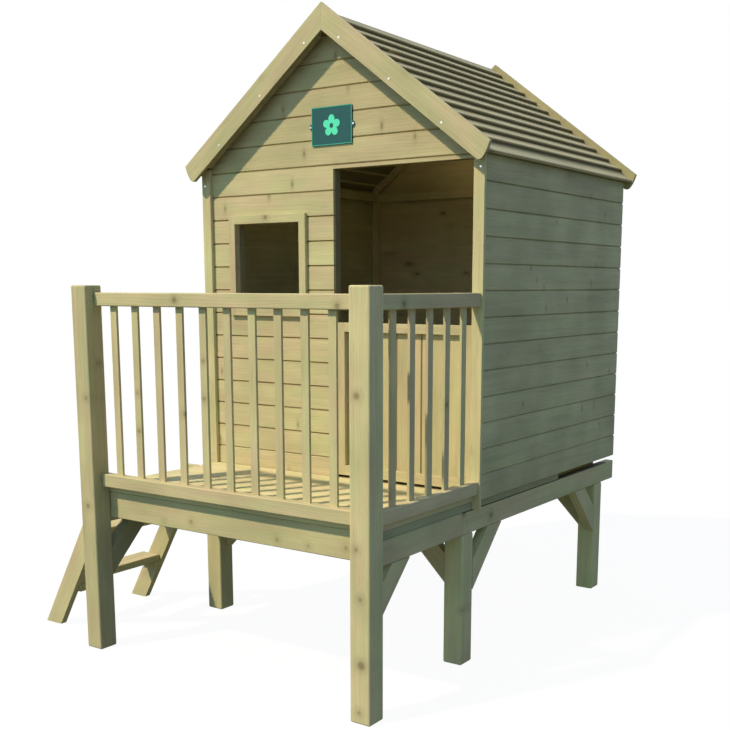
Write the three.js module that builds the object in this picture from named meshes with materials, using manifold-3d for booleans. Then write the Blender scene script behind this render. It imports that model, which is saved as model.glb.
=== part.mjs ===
// Stilt playhouse: a small gabled house with a slatted roof and a half door, standing with its
// railed veranda on six braced posts, reached by a ladder on its left side.
//
// Millimetres, +Z up. The model is laid out about the house's centre line: x = 0 halfway between
// the front posts, y = 0 at their front faces and z = 0 on the ground. The last lines move the
// whole group so that the origin is under the middle of its bounding box.
import * as THREE from 'three';
import { mergeVertices } from 'three/addons/utils/BufferGeometryUtils.js';
import Module from 'manifold-3d';

const wasm = await Module();
wasm.setup();

// Joints between pieces
const joint_gap = 0.3;
const edge_ease = 2.5;
const overrun = 40;
const round_steps = 24;
const nose_steps = 6;

// Posts, and the bays between them from front to back
const front_width = 1200;
const post_size = 70;
const front_post_rise = 673.5;
const post_inset = 31.2;
const veranda_bay = 499.6;
const rear_post_set_in = 44;

// Bearers, cross beams and knee braces under the floor
const bearer_bottom = 442.2;
const bearer_height = 75.7;
const bearer_thickness = 35;
const bearer_overhang = 69.3;
const front_beam_drop = 61.3;
const brace_thickness = 35;
const brace_width = 70;
const brace_leg = 196;
const front_brace_leg = 186;

// Floor frame, deck boards and house floor
const rim_height = 28.4;
const rim_end_set_in = 469.7;
const board_thickness = 20.6;
const deck_boards = 6;
const deck_board_gap = 3;
const batten_width = 28;
const deck_batten_offset = 200;
const floor_joist_offset = 400;
const floor_joist_end = 58;

// Rails and laths round the veranda
const rail_thickness = 35;
const rail_height = 44;
const top_rail_drop = 23.5;
const bottom_rail_lift = 1.7;
const side_rail_inset = 8.6;
const lath_width = 28;
const lath_thickness = 9;
const lath_set_back = 16;
const front_lath_pitch = 99.3;
const front_lath_start = 59.9;
const side_lath_pitch = 99;
const side_lath_start = 70.1;

// Ladder
const ladder_angle = THREE.MathUtils.degToRad(60);
const ladder_start = 35;
const ladder_width = 442;
const stringer_depth = 70;
const stringer_thickness = 24;
const stringer_seat = 39;
const tread_rise = 188.5;
const tread_depth = 91;
const tread_thickness = 27;
const tread_nosing = 29;
const ladder_treads = 2;
const cleat_height = 30;
const cleat_thickness = 28;
const cleat_length = 60;

// House walls
const house_side_inset = 4;
const house_depth = 1119.3;
const wall_height = 1046.5;
const house_set_back = 1.1;
const cladding_thickness = 12;
const cladding_pitch = 84.2;
const cladding_lap = 18;
const groove_depth = 4.5;
const groove_half_width = 3.5;
const stud_size = 28;
const plate_height = 32;
const plate_to_roof = 22.7;
const trim_width = 39;
const trim_thickness = 13.6;
const trim_tail = 47.5;

// Doorway and window openings in the front wall
const doorway_width = 553.7;
const doorway_over_plate = 17;
const window_from_corner = 156;
const window_from_doorway = 143.6;
const window_height = 300;
const window_drop = 171;
const window_frame_width = 29;
const window_frame_thickness = 13.6;

// Roof: the slope falls by this share of its run
const roof_fall_share = 0.76;
const roof_board_thickness = 16;
const course_step = 10;
const course_round = 4;
const course_pitch = 68;
const ridge_course = 46;
const underside_notch = 3;
const rafter_sink = 5;
const front_overhang = 59;
const rear_overhang = 34.7;
const end_rafter_width = 19;
const end_rafter_depth = 34;
const rafter_start = 30;
const eaves_clear = 7;
const mid_rafter_end = 95;
const barge_thickness = 14;
const barge_depth = 69.3;
const barge_rise = 17.5;
const eaves_overhang = 40;
const barge_nose = 20.5;
const barge_nose_drop = 61.5;
const barge_heel = 43;

// Half door and its two strap hinges
const door_gap = 2.8;
const door_lift = 9.5;
const door_height = 536;
const door_frame_thickness = 15;
const door_stile = 41;
const door_top_rail = 31;
const door_bottom_rail = 35;
const door_board = 100;
const door_board_thickness = 12;
const ledge_thickness = 13;
const ledge_height = 62;
const ledge_from_end = 62;
const ledge_inset = 22;
const hinge_plate = 1.5;
const hinge_height = 60;
const hinge_width = 22;
const strap_length = 190;
const strap_tip_height = 22;
const knuckle_radius = 4;
const knuckle_clear = 0.4;
const pin_radius = 2;
const pin_clear = 0.08;

// Bare plaque on the gable
const plaque_width = 170;
const plaque_height = 126;
const plaque_thickness = 4;
const plaque_corner = 4;
const plaque_drop = 360.8;
const plaque_ear_radius = 10;
const plaque_ear_hole = 2.5;

// Levels and places that follow from the sizes
const half_width = front_width / 2;
const floor_half = half_width - post_inset;
const bearer_top = bearer_bottom + bearer_height;
const rim_bottom = bearer_top + joint_gap;
const rim_top = rim_bottom + rim_height;
const board_bottom = rim_top + joint_gap;
const deck_top = board_bottom + board_thickness;
const wall_foot = deck_top + joint_gap;
const front_post_height = deck_top + front_post_rise;
const top_rail_top = front_post_height - top_rail_drop;
const mid_post_y = post_size + veranda_bay;
const mid_post_back = mid_post_y + post_size;
const house_front = mid_post_back + house_set_back;
const house_back = house_front + house_depth;
const house_half = half_width - house_side_inset;
const rear_post_back = house_back - rear_post_set_in;
const rear_post_y = rear_post_back - post_size;
const bearer_end = house_back + bearer_overhang;
const cladding_datum = deck_top - cladding_lap;
const inner_half = house_half - cladding_thickness - joint_gap;
const frame_front = house_front + cladding_thickness + joint_gap;
const frame_inner = frame_front + stud_size;
const rear_frame_back = house_back - cladding_thickness - joint_gap;
const rear_frame_inner = rear_frame_back - stud_size;
const trim_front = house_front - joint_gap - trim_thickness;
const doorway_right = inner_half - stud_size;
const doorway_left = doorway_right - doorway_width;
const window_left = window_from_corner - house_half;
const window_right = doorway_left - window_from_doorway;
const plate_bottom = deck_top + wall_height;
const doorway_top = plate_bottom + doorway_over_plate;
const window_top = doorway_top - window_drop;
const window_bottom = window_top - window_height;
const boards_to_doorway = Math.ceil((doorway_top - cladding_datum) / cladding_pitch);
const gable_joint = cladding_datum + cladding_pitch * boards_to_doorway;

const roof_angle = Math.atan(roof_fall_share);
const fall_cos = Math.cos(roof_angle);
const fall_sin = Math.sin(roof_angle);
const seat_drop = (roof_board_thickness + joint_gap) / fall_cos;
const plate_seat = plate_bottom + plate_height + plate_to_roof;
const ridge_height = plate_seat + roof_fall_share * inner_half + seat_drop;
const barge_half_span = house_half + eaves_overhang;
const plaque_height_middle = ridge_height - plaque_drop;
const seat_height = (x) => ridge_height - roof_fall_share * Math.abs(x) - seat_drop;

// Materials
const timber = new THREE.MeshStandardMaterial({ color: 0xc4b886, roughness: 0.8, metalness: 0 });
const roof_timber = new THREE.MeshStandardMaterial({ color: 0xb9b08a, roughness: 0.85, metalness: 0 });
const plaque_plastic = new THREE.MeshStandardMaterial({ color: 0x33615e, roughness: 0.5, metalness: 0 });
const zinc = new THREE.MeshStandardMaterial({ color: 0xb8babb, roughness: 0.4, metalness: 0.9 });

// Solids from three.js geometry, for joining and cutting
function solidOf(geometry) {
  geometry.deleteAttribute('uv');
  geometry.deleteAttribute('normal');
  const merged = mergeVertices(geometry);
  const mesh = new wasm.Mesh({
    numProp: 3,
    vertProperties: new Float32Array(merged.attributes.position.array),
    triVerts: new Uint32Array(merged.index.array),
  });
  return new wasm.Manifold(mesh);
}

function geometryOf(solid) {
  const mesh = solid.getMesh();
  const geometry = new THREE.BufferGeometry();
  geometry.setAttribute('position', new THREE.BufferAttribute(new Float32Array(mesh.vertProperties), 3));
  geometry.setIndex(new THREE.BufferAttribute(new Uint32Array(mesh.triVerts), 1));
  geometry.computeVertexNormals();
  return geometry;
}

function join(solids) {
  return solids.reduce((whole, next) => whole.add(next));
}

// Each axis takes its outlines in the other two: x in [y, z], y in [x, z] and z in [x, y]
const east = new THREE.Vector3(1, 0, 0);
const north = new THREE.Vector3(0, 1, 0);
const up = new THREE.Vector3(0, 0, 1);
const turns = {
  x: new THREE.Matrix4().makeBasis(north, up, east),
  y: new THREE.Matrix4().makeBasis(east, up, north.clone().negate()),
  z: new THREE.Matrix4(),
};

function pathOf(points) {
  return points.map(([a, b]) => new THREE.Vector2(a, b));
}

function placed(axis, geometry, from, to) {
  geometry.translate(0, 0, axis === 'y' ? -to : from);
  geometry.applyMatrix4(turns[axis]);
  return solidOf(geometry);
}

// A prism of any outline, from one place to another along an axis
function prism(axis, outline, from, to, holes = []) {
  const shape = new THREE.Shape(pathOf(outline));
  for (const hole of holes) shape.holes.push(new THREE.Path(pathOf(hole)));
  const geometry = new THREE.ExtrudeGeometry(shape, { depth: to - from, bevelEnabled: false });
  return placed(axis, geometry, from, to);
}

function rectangle([a0, a1], [b0, b1]) {
  return [[a0, b0], [a1, b0], [a1, b1], [a0, b1]];
}

function block([x0, x1], [y0, y1], [z0, z1]) {
  return prism('z', rectangle([x0, x1], [y0, y1]), z0, z1);
}

// A planed timber along an axis, its long edges and its ends eased
function bar(axis, xs, ys, zs, ease = edge_ease) {
  const [[a0, a1], [b0, b1], [from, to]] = { x: [ys, zs, xs], y: [xs, zs, ys], z: [xs, ys, zs] }[axis];
  const outline = [
    [a0 + ease, b0], [a1 - ease, b0], [a1, b0 + ease], [a1, b1 - ease],
    [a1 - ease, b1], [a0 + ease, b1], [a0, b1 - ease], [a0, b0 + ease],
  ];
  const geometry = new THREE.ExtrudeGeometry(new THREE.Shape(pathOf(outline)), {
    depth: to - from - 2 * ease,
    bevelEnabled: true,
    bevelThickness: ease,
    bevelSize: ease,
    bevelOffset: -ease,
    bevelSegments: 1,
  });
  geometry.translate(0, 0, ease);
  return placed(axis, geometry, from, to);
}

// The span between two distances from the centre line, on one side of it
const sides = { left: -1, right: 1 };
function across(side, inner, outer) {
  return side > 0 ? [inner, outer] : [-outer, -inner];
}

const playhouse = new THREE.Group();
function place(name, solid, material = timber) {
  const mesh = new THREE.Mesh(geometryOf(solid), material);
  mesh.name = name;
  playhouse.add(mesh);
}

// Posts: the front pair runs up past the rails, and the other two pairs stop under the bearers
function addPosts() {
  for (const [name, side] of Object.entries(sides)) {
    const outer = across(side, half_width - post_size, half_width);
    const inset = across(side, floor_half - post_size, floor_half);
    place(`post_front_${name}`, bar('z', outer, [0, post_size], [0, front_post_height]));
    const under = [0, bearer_bottom - joint_gap];
    place(`post_mid_${name}`, bar('z', inset, [mid_post_y, mid_post_back], under));
    place(`post_rear_${name}`, bar('z', inset, [rear_post_y, rear_post_back], under));
  }
}

// Side bearers in two lengths, and the beams between them
function addBearers() {
  const heights = [bearer_bottom, bearer_top];
  const front_run = [post_size + joint_gap, mid_post_y - joint_gap];
  for (const [name, side] of Object.entries(sides)) {
    const span = across(side, floor_half - bearer_thickness, floor_half);
    place(`bearer_front_${name}`, bar('y', span, front_run, heights));
    place(`bearer_rear_${name}`, bar('y', span, [mid_post_y, bearer_end], heights));
  }
  const between_bearers = floor_half - bearer_thickness - joint_gap;
  const front_beam_y = post_size + joint_gap;
  place('beam_front', bar('x', [-between_bearers, between_bearers],
    [front_beam_y, front_beam_y + bearer_thickness], [bearer_top - front_beam_drop, rim_top]));
  place('beam_mid', bar('x', [-between_bearers, between_bearers],
    [mid_post_back - bearer_thickness, mid_post_back], heights));
  place('beam_rear', bar('x', [-between_bearers, between_bearers],
    [rear_post_back - bearer_thickness, rear_post_back], heights));
}

// A knee brace's outline in a corner: the post's face is at a, the timber above it at the height
// given, and the brace runs away from the post in the direction given
function braceOutline(a, way, height, leg) {
  const seat = brace_width * Math.SQRT2;
  const face = a + way * joint_gap;
  const top = height - joint_gap;
  return [
    [face, top - leg],
    [face + way * leg, top],
    [face + way * (leg - seat), top],
    [face, top - leg + seat],
  ];
}

function addBraces() {
  for (const [name, side] of Object.entries(sides)) {
    const [low, high] = across(side, floor_half - brace_thickness, floor_half);
    const inner_face = side * (floor_half - post_size);
    const front = braceOutline(post_size, 1, bearer_bottom, front_brace_leg);
    const mid = braceOutline(mid_post_back, 1, bearer_bottom, brace_leg);
    const rear = braceOutline(rear_post_y, -1, bearer_bottom, brace_leg);
    const inward = braceOutline(inner_face, -side, bearer_bottom, brace_leg);
    place(`brace_front_${name}`, prism('x', front, low, high));
    place(`brace_mid_${name}`, prism('x', mid, low, high));
    place(`brace_rear_${name}`, prism('x', rear, low, high));
    const crosswise = (back) => prism('y', inward, back - brace_thickness, back);
    place(`brace_mid_cross_${name}`, crosswise(mid_post_back));
    place(`brace_rear_cross_${name}`, crosswise(rear_post_back));
  }
}

// Floor frame, the veranda's boards on their two battens, and the house floor on its joists
function addFloor() {
  const rim_start = post_size + joint_gap;
  for (const [name, side] of Object.entries(sides)) {
    const span = across(side, floor_half - bearer_thickness, floor_half);
    const run = [rim_start, house_back - rim_end_set_in];
    place(`floor_rim_${name}`, bar('y', span, run, [rim_bottom, rim_top]));
  }

  const deck_end = house_front - joint_gap;
  const pitch = (deck_end - rim_start + deck_board_gap) / deck_boards;
  const boards = [];
  for (let i = 0; i < deck_boards; i += 1) {
    const y = rim_start + i * pitch;
    const depth = [y, y + pitch - deck_board_gap];
    boards.push(bar('x', [-floor_half, floor_half], depth, [board_bottom, deck_top]));
  }
  const batten_start = rim_start + bearer_thickness + joint_gap;
  for (const side of Object.values(sides)) {
    const x = side * deck_batten_offset;
    boards.push(block([x - batten_width / 2, x + batten_width / 2], [batten_start, deck_end],
      [rim_bottom, board_bottom + edge_ease]));
  }
  place('deck', join(boards));

  const slab = block([-inner_half, inner_half], [house_front, rear_frame_back], [board_bottom, deck_top]);
  const joist_end = house_back - floor_joist_end;
  const joists = [-floor_joist_offset, 0, floor_joist_offset].map((x) => block(
    [x - batten_width / 2, x + batten_width / 2],
    [mid_post_back - bearer_thickness, joist_end], [rim_bottom, board_bottom],
  ));
  const between_bearers = floor_half - bearer_thickness - joint_gap;
  const tail_depth = [joist_end - batten_width, joist_end];
  const tail = block([-between_bearers, between_bearers], tail_depth, [rim_bottom, board_bottom]);
  place('house_floor', join([slab, tail, ...joists]));
}

// How many laths fit a run at their pitch, and where each one starts
function lathStarts(from, to, start, pitch) {
  const count = Math.floor((to - from - start - lath_width) / pitch) + 1;
  return Array.from({ length: count }, (_, i) => from + start + i * pitch);
}

// Rails on two sides of the veranda. The laths stand in the bottom rail and reach the top one
function addRails() {
  const top = [top_rail_top - rail_height, top_rail_top];
  const bottom_foot = deck_top + bottom_rail_lift;
  const bottom = [bottom_foot, bottom_foot + rail_height];
  const lath_height = [bottom[1] - edge_ease, top[0] - joint_gap];

  const clear = half_width - post_size - joint_gap;
  const front_y = [post_size - rail_thickness, post_size];
  const lath_y = [front_y[0] + lath_set_back, front_y[0] + lath_set_back + lath_thickness];
  const front_end = clear + joint_gap;
  const front_laths = lathStarts(-front_end, front_end, front_lath_start, front_lath_pitch)
    .map((x) => block([x, x + lath_width], lath_y, lath_height));
  place('rail_front_top', bar('x', [-clear, clear], front_y, top));
  place('rail_front_bottom', join([bar('x', [-clear, clear], front_y, bottom), ...front_laths]));

  const side_outer = half_width - side_rail_inset;
  const side_x = [side_outer - rail_thickness, side_outer];
  const lath_x = [side_outer - lath_set_back - lath_thickness, side_outer - lath_set_back];
  const side_y = [post_size + joint_gap, trim_front - joint_gap];
  const side_laths = lathStarts(post_size, side_y[1], side_lath_start, side_lath_pitch)
    .map((y) => block(lath_x, [y, y + lath_width], lath_height));
  place('rail_side_top', bar('y', side_x, side_y, top));
  place('rail_side_bottom', join([bar('y', side_x, side_y, bottom), ...side_laths]));
}

// Ladder: two leaning boards with plumb-cut tops against the deck's edge, and treads on cleats
function addLadder() {
  const lean = 1 / Math.tan(ladder_angle);
  const seat_x = -floor_half - joint_gap;
  const flat_width = stringer_depth / Math.sin(ladder_angle);
  const back_foot = seat_x - (deck_top - stringer_seat) * lean;
  const front_edge = (z) => back_foot - flat_width + z * lean;
  const outline = [
    [front_edge(0), 0],
    [back_foot, 0],
    [seat_x, deck_top - stringer_seat],
    [seat_x, deck_top],
    [front_edge(deck_top), deck_top],
  ];
  const first_face = post_size + ladder_start;
  const last_face = first_face + ladder_width;
  const steps_down = Array.from({ length: ladder_treads }, (_, i) => ladder_treads - i);
  const tread_tops = steps_down.map((steps) => deck_top - steps * tread_rise);

  const cleats = (from, to) => tread_tops.map((z) => {
    const back = front_edge(z) - tread_nosing + tread_depth;
    const top = z - tread_thickness - joint_gap;
    return block([back - cleat_length, back], [from, to], [top - cleat_height, top]);
  });
  const inner_front = first_face + stringer_thickness;
  const inner_back = last_face - stringer_thickness;
  const front_cleats = cleats(inner_front, inner_front + cleat_thickness);
  const rear_cleats = cleats(inner_back - cleat_thickness, inner_back);
  place('ladder_stringer_front', join([prism('y', outline, first_face, inner_front), ...front_cleats]));
  place('ladder_stringer_rear', join([prism('y', outline, inner_back, last_face), ...rear_cleats]));
  tread_tops.forEach((z, i) => {
    const x = front_edge(z) - tread_nosing;
    place(`ladder_tread_${i + 1}`, bar('y', [x, x + tread_depth],
      [inner_front + joint_gap, inner_back - joint_gap], [z - tread_thickness, z]));
  });
  return front_edge(0);
}

// The section of boarded cladding: a plain back, and a face with a groove at every board joint,
// or half of one where the boarding starts or stops at a joint
function claddingOutline(face, back, bottom, top) {
  const way = Math.sign(face - back);
  const jointNear = (z) => {
    const boards = Math.round((z - cladding_datum) / cladding_pitch);
    return cladding_datum + boards * cladding_pitch;
  };
  const faceAt = (z) => {
    const share = Math.max(0, 1 - Math.abs(z - jointNear(z)) / groove_half_width);
    return face - way * groove_depth * share;
  };
  const heights = [];
  for (let z = jointNear(bottom); z < top + cladding_pitch; z += cladding_pitch) {
    heights.push(z - groove_half_width, z, z + groove_half_width);
  }
  const between = heights.filter((z) => z > bottom && z < top);
  const front = [bottom, ...between, top].map((z) => [faceAt(z), z]);
  return [[back, bottom], ...front, [back, top]];
}

// What lies under the roof boards between two distances from the centre line
function underRoof(half, from, to) {
  const eaves = seat_height(half);
  const outline = [[-half, 0], [half, 0], [half, eaves], [0, seat_height(0)], [-half, eaves]];
  return prism('y', outline, from, to);
}

function addWalls() {
  const front_back = house_front + cladding_thickness;
  const rear_front = house_back - cladding_thickness;
  const front = claddingOutline(house_front, front_back, wall_foot, gable_joint - joint_gap / 2);
  const window_hole = block([window_left, window_right], [house_front - overrun, front_back + overrun],
    [window_bottom, window_top]);
  place('front_wall', prism('x', front, -inner_half, doorway_left).subtract(window_hole));

  const gable = claddingOutline(house_front, front_back, gable_joint + joint_gap / 2, ridge_height);
  const lintel = claddingOutline(house_front, front_back, doorway_top, gable_joint + stud_size);
  const roofed = underRoof(inner_half, house_front - overrun, front_back + overrun);
  place('front_gable', join([
    prism('x', gable, -inner_half, inner_half).intersect(roofed),
    prism('x', lintel, doorway_left, inner_half).intersect(roofed),
    block([doorway_right, inner_half], [house_front, front_back], [wall_foot, doorway_top + edge_ease]),
  ]));

  const rear = claddingOutline(house_back, rear_front, cladding_datum, ridge_height);
  const rear_roofed = underRoof(inner_half, rear_front - overrun, house_back + overrun);
  place('rear_wall', prism('x', rear, -inner_half, inner_half).intersect(rear_roofed));

  // Each side wall carries its own top and bottom plates and a middle stud
  const between = [frame_inner + joint_gap, rear_frame_inner - joint_gap];
  const middle = (between[0] + between[1]) / 2;
  for (const [name, side] of Object.entries(sides)) {
    const face = side * house_half;
    const back = face - side * cladding_thickness;
    const boards = claddingOutline(face, back, cladding_datum, seat_height(house_half));
    const inner = across(side, inner_half - stud_size, house_half - cladding_thickness);
    const stud_y = [middle - stud_size / 2, middle + stud_size / 2];
    place(`side_wall_${name}`, join([
      prism('y', boards, house_front, house_back),
      block(inner, between, [plate_bottom, plate_bottom + plate_height]),
      block(inner, between, [wall_foot, wall_foot + stud_size]),
      block(inner, stud_y, [wall_foot, plate_bottom + plate_height]),
    ]));
  }
}

// The pair of rafters inside a gable
function gableRafters(from, to) {
  const drop = stud_size / fall_cos;
  const over = [-inner_half, 0, inner_half].map((x) => [x, seat_height(x)]);
  const under = over.map(([x, z]) => [x, z - drop]);
  return prism('y', [...over, ...under.reverse()], from, to);
}

function addWallFrames() {
  const front = [frame_front, frame_inner];
  const stud = (x, z0, z1, depth) => block([x, x + stud_size], depth, [z0, z1]);
  const tie_top = doorway_top + stud_size;
  const corner_top = seat_height(inner_half);
  const front_frame = join([
    stud(-inner_half, wall_foot, corner_top, front),
    stud(inner_half - stud_size, wall_foot, corner_top, front),
    stud(doorway_left - stud_size, wall_foot, tie_top, front),
    stud(window_left - stud_size, wall_foot, tie_top, front),
    stud(window_right, wall_foot, tie_top, front),
    block([window_left, window_right], front, [window_bottom - stud_size, window_bottom]),
    block([window_left, window_right], front, [window_top, window_top + stud_size]),
    block([-inner_half, doorway_left], front, [wall_foot, wall_foot + stud_size]),
    block([-inner_half, inner_half], front, [doorway_top, tie_top]),
    gableRafters(...front),
  ]);
  const front_roofed = underRoof(inner_half, front[0] - overrun, front[1] + overrun);
  place('front_frame', front_frame.intersect(front_roofed));

  const rear = [rear_frame_inner, rear_frame_back];
  const rear_frame = join([
    stud(-inner_half, wall_foot, corner_top, rear),
    stud(inner_half - stud_size, wall_foot, corner_top, rear),
    stud(-stud_size / 2, wall_foot, plate_bottom, rear),
    block([-inner_half, inner_half], rear, [wall_foot, wall_foot + stud_size]),
    block([-inner_half, inner_half], rear, [plate_bottom, plate_bottom + plate_height]),
    gableRafters(...rear),
  ]);
  const rear_roofed = underRoof(inner_half, rear[0] - overrun, rear[1] + overrun);
  place('rear_frame', rear_frame.intersect(rear_roofed));
}

// Corner trims, whose tails hang outside the deck's edge, and the frame round the window
function addTrims() {
  const depth = [trim_front, trim_front + trim_thickness];
  for (const [name, side] of Object.entries(sides)) {
    const full = across(side, house_half - trim_width, house_half);
    const tail = across(side, floor_half + joint_gap, house_half);
    place(`corner_trim_${name}`, join([
      block(full, depth, [wall_foot, seat_height(house_half)]),
      block(tail, depth, [deck_top - trim_tail, wall_foot]),
    ]));
  }
  const inner = rectangle([window_left, window_right], [window_bottom, window_top]);
  const outer = rectangle(
    [window_left - window_frame_width, window_right + window_frame_width],
    [window_bottom - window_frame_width, window_top + window_frame_width],
  );
  const window_front = house_front - joint_gap - window_frame_thickness;
  place('window_frame', prism('y', outer, window_front, house_front - joint_gap, [inner]));
}

// A point on the right-hand slope: a distance down it from the ridge, and a depth below its face
function onSlope(down, depth) {
  return [down * fall_cos - depth * fall_sin, ridge_height - down * fall_sin - depth * fall_cos];
}

// A quarter round between two straight runs, in the slope's own distances
function quarterRound(down, depth, radius, from, to) {
  const steps = 3;
  return Array.from({ length: steps + 1 }, (_, i) => {
    const angle = from + (to - from) * i / steps;
    return [down + radius * Math.cos(angle), depth + radius * Math.sin(angle)];
  });
}

// Stepped courses of tapered boards over a flat underside, ending in a plain eaves board
function coursesOutline() {
  const eaves = (barge_half_span - eaves_clear) / fall_cos;
  const middle = joint_gap / 2 / fall_cos;
  const points = [[middle, 0]];
  const joints = [];
  for (let edge = ridge_course; edge < eaves - course_pitch / 2; edge += course_pitch) {
    joints.push(edge);
    points.push(...quarterRound(edge - course_round, course_round, course_round, -Math.PI / 2, 0));
    points.push([edge, course_step]);
  }
  const last = [eaves - course_round, course_step + course_round];
  points.push(...quarterRound(...last, course_round, -Math.PI / 2, 0));
  points.push([eaves, roof_board_thickness]);
  for (const edge of joints.reverse()) {
    points.push([edge + underside_notch, roof_board_thickness]);
    points.push([edge, roof_board_thickness - underside_notch]);
    points.push([edge - underside_notch, roof_board_thickness]);
  }
  points.push([middle + roof_board_thickness * fall_sin / fall_cos, roof_board_thickness]);
  return points.map(([down, depth]) => onSlope(down, depth));
}

function rafterOutline(end, depth) {
  const top = roof_board_thickness - rafter_sink;
  const foot = roof_board_thickness + depth;
  const corners = [[rafter_start, top], [end, top], [end, foot], [rafter_start + depth, foot]];
  return corners.map(([down, level]) => onSlope(down, level));
}

function addRoof() {
  const from = house_front - front_overhang + barge_thickness + joint_gap;
  const to = house_back + rear_overhang - barge_thickness - joint_gap;
  const eaves = (barge_half_span - barge_heel) / fall_cos;
  const middle = (from + to) / 2;
  for (const [name, side] of Object.entries(sides)) {
    const turned = (points) => points.map(([x, z]) => [side * x, z]);
    const end_rafter = turned(rafterOutline(eaves - end_rafter_depth, end_rafter_depth));
    const mid_rafter = turned(rafterOutline(eaves - mid_rafter_end, stud_size));
    place(`roof_${name}`, join([
      prism('y', turned(coursesOutline()), from, to),
      prism('y', end_rafter, from, from + end_rafter_width),
      prism('y', end_rafter, to - end_rafter_width, to),
      prism('y', mid_rafter, middle - stud_size / 2, middle + stud_size / 2),
    ]), roof_timber);
  }

  const apex = ridge_height + barge_rise / fall_cos;
  const drop = barge_depth / fall_cos;
  const top = (x) => apex - roof_fall_share * x;
  const heel = barge_half_span - barge_heel;
  const nose = new THREE.QuadraticBezierCurve(
    new THREE.Vector2(barge_half_span, top(barge_half_span)),
    new THREE.Vector2(barge_half_span - barge_nose, top(barge_half_span) - barge_nose_drop),
    new THREE.Vector2(heel, top(heel) - drop),
  );
  const outline = [
    [joint_gap / 2, top(joint_gap / 2)],
    ...nose.getPoints(nose_steps).map((point) => [point.x, point.y]),
    [joint_gap / 2, top(joint_gap / 2) - drop],
  ];
  const ends = {
    front: [house_front - front_overhang, house_front - front_overhang + barge_thickness],
    rear: [house_back + rear_overhang - barge_thickness, house_back + rear_overhang],
  };
  for (const [end, depth] of Object.entries(ends)) {
    for (const [name, side] of Object.entries(sides)) {
      place(`barge_${end}_${name}`, prism('y', outline.map(([x, z]) => [side * x, z]), ...depth));
    }
  }
}

// The half door: upright boards held by a frame outside and by a braced pair of ledges inside
const leaf = {
  x: [doorway_left + door_gap, doorway_right - door_gap],
  z: [deck_top + door_lift, deck_top + door_lift + door_height],
};
const leaf_front = house_front + joint_gap;
const boards_front = leaf_front + door_frame_thickness + joint_gap;
const ledge_front = boards_front + door_board_thickness + joint_gap;
const leaf_back = frame_inner;
const ledge_low = [leaf.z[0] + ledge_from_end, leaf.z[0] + ledge_from_end + ledge_height];
const ledge_high = [leaf.z[1] - ledge_from_end - ledge_height, leaf.z[1] - ledge_from_end];

function addDoor() {
  const opening = rectangle([leaf.x[0] + door_stile, leaf.x[1] - door_stile],
    [leaf.z[0] + door_bottom_rail, leaf.z[1] - door_top_rail]);
  const frame_back = leaf_front + door_frame_thickness;
  place('door_frame', prism('y', rectangle(leaf.x, leaf.z), leaf_front, frame_back, [opening]));

  const boards_back = boards_front + door_board_thickness;
  const boards = [[leaf.x[1], boards_back], [leaf.x[0], boards_back], [leaf.x[0], boards_front]];
  const first = leaf.x[1] - door_board * Math.floor((leaf.x[1] - leaf.x[0]) / door_board);
  for (let x = first; x < leaf.x[1] - groove_half_width; x += door_board) {
    if (x > leaf.x[0] + groove_half_width) {
      boards.push([x - groove_half_width, boards_front]);
      boards.push([x, boards_front + groove_depth]);
      boards.push([x + groove_half_width, boards_front]);
    }
  }
  boards.push([leaf.x[1], boards_front]);
  place('door_boards', prism('z', boards, ...leaf.z));

  const ledge_x = [leaf.x[0] + ledge_inset, leaf.x[1] - edge_ease];
  const lean = ledge_height;
  const diagonal = [
    [ledge_x[1] - lean, ledge_low[1] - edge_ease], [ledge_x[1], ledge_low[1] - edge_ease],
    [ledge_x[0] + lean, ledge_high[0] + edge_ease], [ledge_x[0], ledge_high[0] + edge_ease],
  ];
  place('door_ledges', join([
    block(ledge_x, [ledge_front, leaf_back], ledge_low),
    block(ledge_x, [ledge_front, leaf_back], ledge_high),
    prism('y', diagonal, ledge_front, leaf_back),
  ]));
}

// One strap hinge, its barrel standing just inside the wall frame
function addHinge(name, centre) {
  const plate_y = [frame_inner + joint_gap, frame_inner + joint_gap + hinge_plate];
  const pin = [(leaf.x[1] + doorway_right) / 2, plate_y[0] + knuckle_radius];
  const third = hinge_height / 3;
  const low = centre - hinge_height / 2;
  const high = centre + hinge_height / 2;
  const clear = knuckle_radius + knuckle_clear;
  const barrel = (radius, from, to) => {
    const geometry = new THREE.CylinderGeometry(radius, radius, to - from, round_steps);
    geometry.rotateX(Math.PI / 2);
    geometry.translate(...pin, (from + to) / 2);
    return solidOf(geometry);
  };
  const cut_low = low + third;
  const cut_high = high - third;
  const fixed = join([
    block([pin[0] + clear, pin[0] + clear + hinge_width], plate_y, [low, high]),
    block([pin[0], pin[0] + clear], plate_y, [low, cut_low]),
    block([pin[0], pin[0] + clear], plate_y, [cut_high, high]),
    barrel(knuckle_radius, low, cut_low),
    barrel(knuckle_radius, cut_high, high),
    barrel(pin_radius, cut_low - edge_ease, cut_high + edge_ease),
  ]);
  place(`hinge_${name}_plate`, fixed, zinc);

  const tab = [cut_low + knuckle_clear, cut_high - knuckle_clear];
  const tip = pin[0] - strap_length;
  const strap = prism('y', [
    [pin[0] - clear, low], [pin[0] - clear, high],
    [tip, centre + strap_tip_height / 2], [tip, centre - strap_tip_height / 2],
  ], ...plate_y);
  const moving = join([
    strap,
    block([pin[0] - clear, pin[0]], plate_y, tab),
    barrel(knuckle_radius, ...tab),
  ]).subtract(barrel(pin_radius + pin_clear, low, high));
  place(`hinge_${name}_strap`, moving, zinc);
}

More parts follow.
